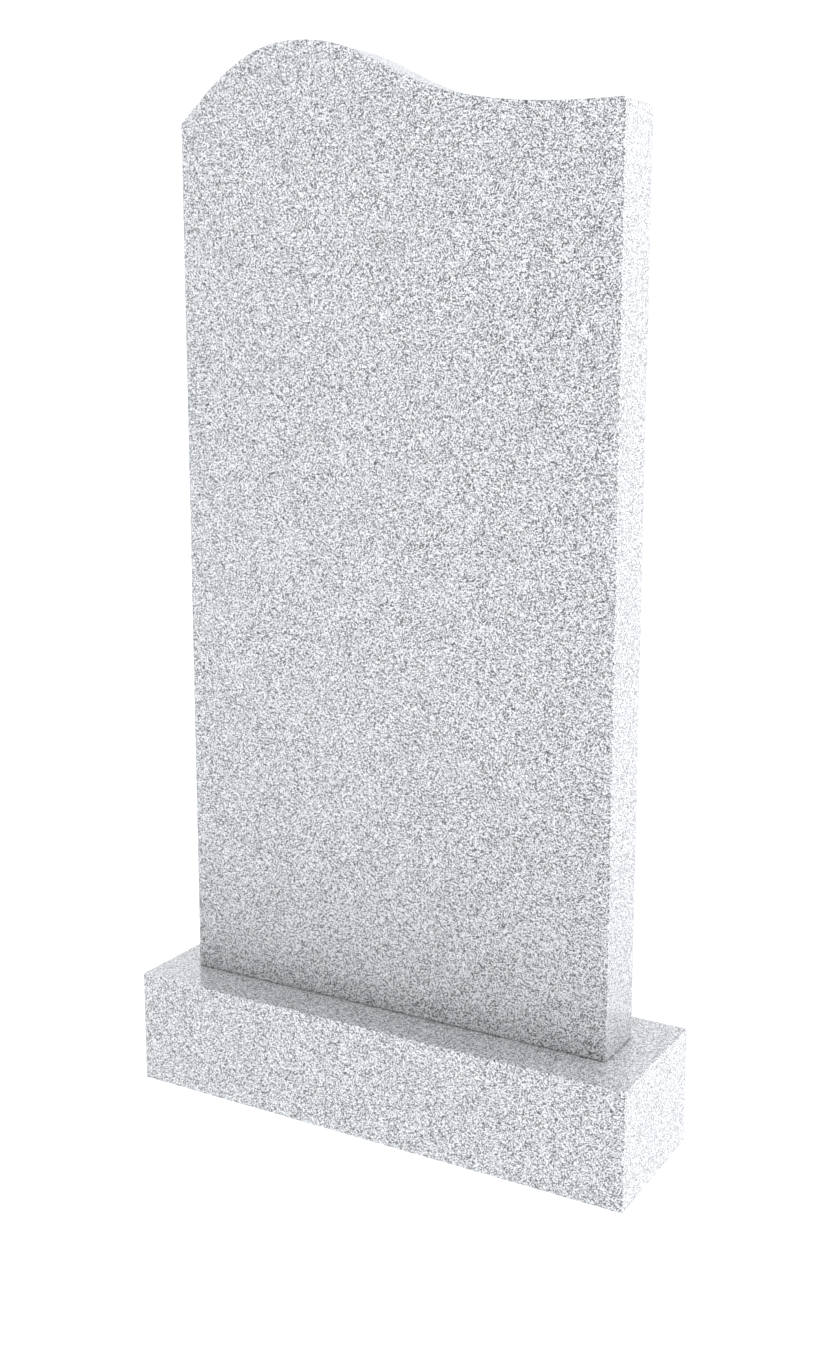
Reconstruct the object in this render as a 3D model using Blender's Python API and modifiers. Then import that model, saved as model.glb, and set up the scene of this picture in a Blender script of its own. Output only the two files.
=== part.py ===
"""Upright granite headstone: a slab with a wave-shaped top, standing on a rectangular plinth.

Metres, +Z up. The origin is the centre of the plinth's underside. The front of the slab, which
would carry an inscription, looks along -Y. The wave's crest is on the left, at -X, as seen there.
"""

import math

import bmesh
import bpy

# The slab, measured at its outside faces. Its height runs from its foot to the crest of the wave.
SLAB_WIDTH = 0.600
SLAB_THICKNESS = 0.080
SLAB_HEIGHT = 1.200

# The wave along the slab's top: where its crest is, and how far each corner lies below the crest.
CREST_FROM_LEFT = 0.163
LEFT_CORNER_DROP = 0.087
RIGHT_CORNER_DROP = 0.093

# The wave's Bezier handles. Lengths along the slab are shares of the run from crest to corner,
# and heights are shares of that corner's drop.
LEFT_CORNER_HANDLE_RUN = 0.26
LEFT_CORNER_HANDLE_RISE = 0.41
CREST_HANDLE_LEFT = 0.46
CREST_HANDLE_RIGHT = 0.335
RIGHT_CORNER_HANDLE_RUN = 0.725
RIGHT_CORNER_HANDLE_SAG = 0.064

# The plinth, which runs past the slab at both ends and by another amount in front and behind.
PLINTH_HEIGHT = 0.150
PLINTH_END_LEDGE = 0.050
PLINTH_FRONT_LEDGE = 0.060

# The slab stands on the plinth with this gap, and every edge of both stones is eased by this much.
SEAT_GAP = 0.0003
ARRIS = 0.0012
ARRIS_STEPS = 2

# Straight steps in each of the wave's two Bezier stretches.
WAVE_STEPS = 36

# An edge is sharp, and so is eased, where its faces meet at more than this angle.
SHARP_ANGLE = math.radians(30)

# Points of the outline's solid this close are one point, and a face belongs to one of its flat
# sides where its normal lies along the thickness to within this cosine.
WELD_DISTANCE = 0.00001
FLAT_SIDE_COSINE = 0.99

GRANITE_COLOUR = (0.60, 0.61, 0.63, 1.0)
GRANITE_ROUGHNESS = 0.16


def clear_scene():
    for old in list(bpy.data.objects):
        bpy.data.objects.remove(old, do_unlink=True)


def make_collection():
    collection = bpy.data.collections.new("upright_headstone")
    bpy.context.scene.collection.children.link(collection)
    return collection


def make_granite(name):
    material = bpy.data.materials.new(name)
    material.use_nodes = True
    shader = material.node_tree.nodes["Principled BSDF"]
    shader.inputs["Base Color"].default_value = GRANITE_COLOUR
    shader.inputs["Roughness"].default_value = GRANITE_ROUGHNESS
    shader.inputs["Metallic"].default_value = 0.0
    return material


def slab_outline():
    """The slab's outline, its foot at 0: each point with its handles before and after it.

    A handle of None leaves that side of the point straight.
    """
    left = -SLAB_WIDTH / 2
    right = SLAB_WIDTH / 2
    crest = left + CREST_FROM_LEFT
    left_top = SLAB_HEIGHT - LEFT_CORNER_DROP
    right_top = SLAB_HEIGHT - RIGHT_CORNER_DROP
    left_run = crest - left
    right_run = right - crest
    rising = (
        left + LEFT_CORNER_HANDLE_RUN * left_run,
        left_top + LEFT_CORNER_HANDLE_RISE * LEFT_CORNER_DROP,
    )
    settling = (
        right - RIGHT_CORNER_HANDLE_RUN * right_run,
        right_top - RIGHT_CORNER_HANDLE_SAG * RIGHT_CORNER_DROP,
    )
    before_crest = (crest - CREST_HANDLE_LEFT * left_run, SLAB_HEIGHT)
    after_crest = (crest + CREST_HANDLE_RIGHT * right_run, SLAB_HEIGHT)
    return [
        ((left, 0.0), None, None),
        ((left, left_top), None, rising),
        ((crest, SLAB_HEIGHT), before_crest, after_crest),
        ((right, right_top), settling, None),
        ((right, 0.0), None, None),
    ]


def make_outline_curve(name, outline, thickness):
    """A filled flat curve along the outline, as thick as the slab, lying in its own XY plane."""
    curve = bpy.data.curves.new(name, "CURVE")
    curve.dimensions = "2D"
    curve.fill_mode = "BOTH"
    curve.extrude = thickness / 2
    curve.resolution_u = WAVE_STEPS
    spline = curve.splines.new("BEZIER")
    spline.bezier_points.add(len(outline) - 1)
    spline.use_cyclic_u = True
    for bezier, (point, before, after) in zip(spline.bezier_points, outline):
        bezier.co = (*point, 0.0)
        bezier.handle_left_type = "FREE" if before else "VECTOR"
        bezier.handle_right_type = "FREE" if after else "VECTOR"
        if before:
            bezier.handle_left = (*before, 0.0)
        if after:
            bezier.handle_right = (*after, 0.0)
    return curve


def mesh_from_curve(curve):
    """The curve's solid as a mesh, with its caps welded on and each cap made one flat face."""
    holder = bpy.data.objects.new(curve.name, curve)
    bpy.context.scene.collection.objects.link(holder)
    graph = bpy.context.evaluated_depsgraph_get()
    mesh = bpy.data.meshes.new_from_object(holder.evaluated_get(graph))
    bpy.data.objects.remove(holder, do_unlink=True)
    bpy.data.curves.remove(curve)

    shape = bmesh.new()
    shape.from_mesh(mesh)
    bmesh.ops.remove_doubles(shape, verts=shape.verts, dist=WELD_DISTANCE)
    bmesh.ops.recalc_face_normals(shape, faces=shape.faces)
    for side in (1, -1):
        cap = [face for face in shape.faces if face.normal.z * side > FLAT_SIDE_COSINE]
        bmesh.ops.dissolve_faces(shape, faces=cap)
    shape.to_mesh(mesh)
    shape.free()
    return mesh


def ease_edges(stone):
    """Takes the arris off every edge of a stone, as a mason does after polishing."""
    bevel = stone.modifiers.new("eased_arris", "BEVEL")
    bevel.width = ARRIS
    bevel.segments = ARRIS_STEPS
    bevel.limit_method = "ANGLE"
    bevel.angle_limit = SHARP_ANGLE


def add_stone(name, mesh, collection, material):
    mesh.name = name
    mesh.materials.clear()
    mesh.materials.append(material)
    mesh.shade_smooth()
    mesh.set_sharp_from_angle(angle=SHARP_ANGLE)
    stone = bpy.data.objects.new(name, mesh)
    collection.objects.link(stone)
    ease_edges(stone)
    return stone


def make_slab(collection, material):
    """The upright slab: the wave outline stood up, its foot just clear of the plinth's top."""
    curve = make_outline_curve("slab_outline", slab_outline(), SLAB_THICKNESS)
    slab = add_stone("headstone_slab", mesh_from_curve(curve), collection, material)
    slab.rotation_euler = (math.radians(90), 0.0, 0.0)
    slab.location = (0.0, 0.0, PLINTH_HEIGHT + SEAT_GAP)
    return slab


def make_plinth(collection, material):
    """The rectangular block that the slab stands on, centred under it."""
    width = SLAB_WIDTH + 2 * PLINTH_END_LEDGE
    depth = SLAB_THICKNESS + 2 * PLINTH_FRONT_LEDGE
    shape = bmesh.new()
    bmesh.ops.create_cube(shape, size=1.0)
    bmesh.ops.scale(shape, verts=shape.verts, vec=(width, depth, PLINTH_HEIGHT))
    mesh = bpy.data.meshes.new("plinth")
    shape.to_mesh(mesh)
    shape.free()
    plinth = add_stone("plinth", mesh, collection, material)
    plinth.location = (0.0, 0.0, PLINTH_HEIGHT / 2)
    return plinth


def main():
    clear_scene()
    collection = make_collection()
    make_slab(collection, make_granite("slab_granite"))
    make_plinth(collection, make_granite("plinth_granite"))


main()
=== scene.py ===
"""Looks of the upright granite headstone: polished light grey granite in a plain white studio."""

import math

import bpy
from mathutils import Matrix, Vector


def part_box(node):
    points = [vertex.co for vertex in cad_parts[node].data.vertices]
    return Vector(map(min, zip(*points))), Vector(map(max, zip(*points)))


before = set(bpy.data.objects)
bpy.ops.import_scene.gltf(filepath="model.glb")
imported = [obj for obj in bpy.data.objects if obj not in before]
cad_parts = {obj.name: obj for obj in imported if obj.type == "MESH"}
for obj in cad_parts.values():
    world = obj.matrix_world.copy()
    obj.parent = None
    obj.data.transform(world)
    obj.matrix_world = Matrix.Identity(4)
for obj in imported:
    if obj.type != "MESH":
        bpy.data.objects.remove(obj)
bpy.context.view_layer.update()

# The photograph's frame, and the camera that took it: its focal length and the row that its axis
# meets are in the photograph's pixels, its place is in metres.
PHOTO_HEIGHT = 1347
FOCAL_PIXELS = 1628.5
AXIS_ROW = 601.1
SENSOR_MM = 36.0
CAMERA_PLACE = (1.0070, -1.7278, 1.0137)
CAMERA_AZIMUTH = math.radians(29.93)
CAMERA_DIP = math.radians(9.61)

# The studio: a white surround, full up to one height above the horizon and gone at another, and
# broad soft lights in it. Each light has the direction that it comes from and the brightness of its
# middle, and it fades around that by a power of the cosine.
SURROUND_GLOW = 1.02
SURROUND_FULL_TO = math.radians(30)
SURROUND_ENDS_AT = math.radians(60)
SOFT_LIGHTS = {
    "right": ((1.0, 0.0, 0.2), 1.95),
    "above_behind_on_the_right": ((0.6, 0.6, 0.8), 0.75),
    "above_on_the_left": ((-0.7, 0.0, 0.8), 0.92),
    "front": ((0.0, -1.0, 0.25), 0.19),
}
LIGHT_SPREAD = 3.0
LIGHT_TINT = (0.985, 1.0, 1.03)

# The floor glows by itself, so that it is as white as the surround that it runs out into.
FLOOR_SIZE = 60.0
FLOOR_GREY = 0.10
FLOOR_GLOW = 1.11

# Granite, as grains of one mineral each, from grey quartz to white feldspar, with black mica flecks
# among them. Each shade is a grey at a value of the grains' random number, which runs from 0 to 1,
# and the greys between are blended.
GRAIN = 0.0010
SHADES = ((0.0, 0.10), (0.33, 0.15), (0.39, 0.68), (1.0, 0.87))
FLECK = 0.0013
FLECK_SHARE = 0.14
MICA = 0.03
TINT = (0.993, 1.0, 1.015)
STONE_IOR = 1.52

# The grains fill space, so each stone's are moved by its own amount, and don't run on from one
# stone into the other.
SLAB_GRAIN_SHIFT = (0.0, 0.0, 0.0)
PLINTH_GRAIN_SHIFT = (0.37, 0.21, 0.53)

# The finishes, each by the roughness of the stone and of the sealer over it, if it has one. The
# flat faces that show are polished. The wave is only honed, and the undersides stay as they were
# sawn.
FINISHES = {
    "polished": (0.25, 0.20),
    "honed": (0.32, None),
    "sawn": (0.70, None),
}

# Under a sealer, mica is rougher than its neighbours by this, as it takes less of a polish.
MICA_DULLER = 0.10

# Painted shade: the slab's foot is painted a little darker, for the shade near the plinth.
FOOT_PAINTED_SHADE = 0.34
FOOT_SHADE_REACH = 0.13

# Painted shade: the joint itself is painted darker still, for the shade in the gap under the slab.
JOINT_PAINTED_SHADE = 0.60
JOINT_SHADE_REACH = 0.0012

# The solids come as separate flat triangles. Corners this close are joined, so that the wave's
# strips and the eased edges shade as the smooth surfaces they stand for.
WELD_DISTANCE = 0.00001

# A face is part of the wave, or of an underside, where its normal's upward part is beyond these.
WAVE_COSINE = 0.6
UNDERSIDE_COSINE = -0.9


def new_material(name):
    material = bpy.data.materials.new(name)
    material.use_nodes = True
    material.node_tree.nodes.clear()
    return material


def finish_material(tree, shader):
    out = tree.nodes.new("ShaderNodeOutputMaterial")
    tree.links.new(shader.outputs["BSDF"], out.inputs["Surface"])


def math_node(tree, operation, *values):
    """A Math node whose inputs are numbers or other nodes' outputs, and its result."""
    node = tree.nodes.new("ShaderNodeMath")
    node.operation = operation
    for socket, value in zip(node.inputs, values):
        if isinstance(value, bpy.types.NodeSocket):
            tree.links.new(value, socket)
        else:
            socket.default_value = value
    return node.outputs[0]


def upward_part(tree, vector):
    split = tree.nodes.new("ShaderNodeSeparateXYZ")
    tree.links.new(vector, split.inputs[0])
    return split.outputs["Z"]


def tinted(grey):
    return tuple(grey * share for share in TINT) + (1.0,)


def grain_numbers(tree, place, size):
    """A random number from 0 to 1 for each grain of this size."""
    cells = tree.nodes.new("ShaderNodeTexVoronoi")
    cells.inputs["Scale"].default_value = 1 / size
    tree.links.new(place, cells.inputs["Vector"])
    split = tree.nodes.new("ShaderNodeSeparateColor")
    tree.links.new(cells.outputs["Color"], split.inputs["Color"])
    return split.outputs["Red"]


def quartz_and_feldspar(tree, place):
    """The colour of the grains between the flecks."""
    ramp = tree.nodes.new("ShaderNodeValToRGB")
    stops = ramp.color_ramp.elements
    stops.remove(stops[1])
    stops[0].color = tinted(SHADES[0][1])
    for position, grey in SHADES[1:]:
        stops.new(position).color = tinted(grey)
    tree.links.new(grain_numbers(tree, place, GRAIN), ramp.inputs["Fac"])
    return ramp.outputs["Color"]


def with_flecks(tree, colour, is_mica):
    mix = tree.nodes.new("ShaderNodeMix")
    mix.data_type = "RGBA"
    tree.links.new(is_mica, mix.inputs["Factor"])
    tree.links.new(colour, mix.inputs["A"])
    mix.inputs["B"].default_value = tinted(MICA)
    return mix.outputs["Result"]


def height_fade(tree, height, foot, reach, strength):
    """One high up, and less by this strength at the foot, closing on it over this reach."""
    depth = math_node(tree, "MULTIPLY_ADD", height, -1 / reach, foot / reach)
    shade = math_node(tree, "EXPONENT", depth)
    return math_node(tree, "MULTIPLY_ADD", shade, -strength, 1.0)


def darkened_at_foot(tree, colour, height, foot):
    """The colour with painted shade over a foot that stands at this height, and deeper painted
    shade at the joint itself.
    """
    painted_foot_shade = height_fade(tree, height, foot, FOOT_SHADE_REACH, FOOT_PAINTED_SHADE)
    painted_joint_shade = height_fade(tree, height, foot, JOINT_SHADE_REACH, JOINT_PAINTED_SHADE)
    darken = tree.nodes.new("ShaderNodeVectorMath")
    darken.operation = "SCALE"
    tree.links.new(colour, darken.inputs[0])
    tree.links.new(math_node(tree, "MULTIPLY", painted_foot_shade, painted_joint_shade), darken.inputs["Scale"])
    return darken.outputs[0]


def set_finish(tree, shader, finish, is_mica):
    """Sets how rough the stone is, and gives it its sealer, if the finish has one."""
    stone_roughness, sealer_roughness = FINISHES[finish]
    if sealer_roughness is None:
        shader.inputs["Roughness"].default_value = stone_roughness
    else:
        roughness = math_node(tree, "MULTIPLY_ADD", is_mica, MICA_DULLER, stone_roughness)
        tree.links.new(roughness, shader.inputs["Roughness"])
        shader.inputs["Coat Weight"].default_value = 1.0
        shader.inputs["Coat Roughness"].default_value = sealer_roughness


def make_granite(name, finish, grain_shift, foot):
    """Granite with this finish, with painted shade towards its foot if it has one that shows."""
    material = new_material(name + "_" + finish)
    tree = material.node_tree
    on_stone = tree.nodes.new("ShaderNodeTexCoord").outputs["Object"]
    shift = tree.nodes.new("ShaderNodeVectorMath")
    shift.operation = "ADD"
    shift.inputs[1].default_value = grain_shift
    tree.links.new(on_stone, shift.inputs[0])
    place = shift.outputs[0]

    is_mica = math_node(tree, "LESS_THAN", grain_numbers(tree, place, FLECK), FLECK_SHARE)
    colour = with_flecks(tree, quartz_and_feldspar(tree, place), is_mica)
    # Painted shade: the colour is darker towards the foot and darkest at the joint.
    if foot is not None:
        colour = darkened_at_foot(tree, colour, upward_part(tree, on_stone), foot)

    shader = tree.nodes.new("ShaderNodeBsdfPrincipled")
    shader.inputs["IOR"].default_value = STONE_IOR
    tree.links.new(colour, shader.inputs["Base Color"])
    set_finish(tree, shader, finish, is_mica)
    finish_material(tree, shader)
    return material


def face_finish(upward, wave_top):
    """The finish of a face whose normal has this upward part."""
    if upward < UNDERSIDE_COSINE:
        return "sawn"
    if wave_top and upward > WAVE_COSINE:
        return "honed"
    return "polished"


def shade_smoothly(node):
    """Joins a stone's triangles for shading, and leaves its flat faces looking flat."""
    mesh = node.data
    flat_normals = mesh.attributes.get("custom_normal")
    if flat_normals:
        mesh.attributes.remove(flat_normals)
    mesh.shade_smooth()
    weld = node.modifiers.new("weld", "WELD")
    weld.merge_threshold = WELD_DISTANCE
    weighted = node.modifiers.new("weighted_normals", "WEIGHTED_NORMAL")
    weighted.keep_sharp = False


def dress(node_name, grain_shift, foot=None, wave_top=False):
    """Gives a stone its granite, face by face, and its smooth shading."""
    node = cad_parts[node_name]
    mesh = node.data
    finishes = ["polished", "sawn"]
    if wave_top:
        finishes.append("honed")
    mesh.materials.clear()
    for finish in finishes:
        mesh.materials.append(make_granite(node_name, finish, grain_shift, foot))
    for face in mesh.polygons:
        face.material_index = finishes.index(face_finish(face.normal.z, wave_top))
    shade_smoothly(node)


def make_camera():
    data = bpy.data.cameras.new("camera")
    data.sensor_width = SENSOR_MM
    data.lens = FOCAL_PIXELS / PHOTO_HEIGHT * SENSOR_MM
    data.shift_y = (AXIS_ROW - PHOTO_HEIGHT / 2) / PHOTO_HEIGHT
    camera = bpy.data.objects.new("camera", data)
    camera.location = CAMERA_PLACE
    camera.rotation_euler = (math.radians(90) - CAMERA_DIP, 0.0, CAMERA_AZIMUTH)
    bpy.context.scene.collection.objects.link(camera)
    bpy.context.scene.camera = camera


def make_floor_material():
    material = new_material("floor_white")
    tree = material.node_tree
    shader = tree.nodes.new("ShaderNodeBsdfPrincipled")
    shader.inputs["Base Color"].default_value = (FLOOR_GREY, FLOOR_GREY, FLOOR_GREY, 1)
    shader.inputs["Roughness"].default_value = 1.0
    shader.inputs["Specular IOR Level"].default_value = 0.0
    shader.inputs["Emission Color"].default_value = (*LIGHT_TINT, 1)
    shader.inputs["Emission Strength"].default_value = FLOOR_GLOW
    finish_material(tree, shader)
    return material


def make_floor():
    half = FLOOR_SIZE / 2
    corners = [(-half, -half, 0), (half, -half, 0), (half, half, 0), (-half, half, 0)]
    mesh = bpy.data.meshes.new("floor")
    mesh.from_pydata(corners, [], [(0, 1, 2, 3)])
    mesh.materials.append(make_floor_material())
    floor = bpy.data.objects.new("floor", mesh)
    bpy.context.scene.collection.objects.link(floor)


def surround_glow(tree, direction):
    """The white surround's brightness in each direction."""
    surround = tree.nodes.new("ShaderNodeMapRange")
    surround.interpolation_type = "SMOOTHSTEP"
    surround.inputs["From Min"].default_value = math.sin(SURROUND_FULL_TO)
    surround.inputs["From Max"].default_value = math.sin(SURROUND_ENDS_AT)
    surround.inputs["To Min"].default_value = SURROUND_GLOW
    surround.inputs["To Max"].default_value = 0.0
    tree.links.new(upward_part(tree, direction), surround.inputs["Value"])
    return surround.outputs[0]


def soft_light_glow(tree, direction, comes_from):
    """A soft light's share of its full brightness in each direction."""
    facing = tree.nodes.new("ShaderNodeVectorMath")
    facing.operation = "DOT_PRODUCT"
    facing.inputs[1].default_value = Vector(comes_from).normalized()
    tree.links.new(direction, facing.inputs[0])
    cosine = math_node(tree, "MAXIMUM", facing.outputs["Value"], 0.0)
    return math_node(tree, "POWER", cosine, LIGHT_SPREAD)


def make_studio_light():
    world = bpy.data.worlds.new("studio")
    world.use_nodes = True
    tree = world.node_tree
    direction = tree.nodes.new("ShaderNodeTexCoord").outputs["Generated"]
    total = surround_glow(tree, direction)
    for comes_from, brightness in SOFT_LIGHTS.values():
        glow = soft_light_glow(tree, direction, comes_from)
        total = math_node(tree, "MULTIPLY_ADD", glow, brightness, total)
    background = tree.nodes["Background"]
    background.inputs["Color"].default_value = (*LIGHT_TINT, 1)
    tree.links.new(total, background.inputs["Strength"])
    bpy.context.scene.world = world


dress("headstone_slab", SLAB_GRAIN_SHIFT, foot=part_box("headstone_slab")[0].z, wave_top=True)
dress("plinth", PLINTH_GRAIN_SHIFT)
make_camera()
make_floor()
make_studio_light()
bpy.context.scene.view_settings.view_transform = "Standard"
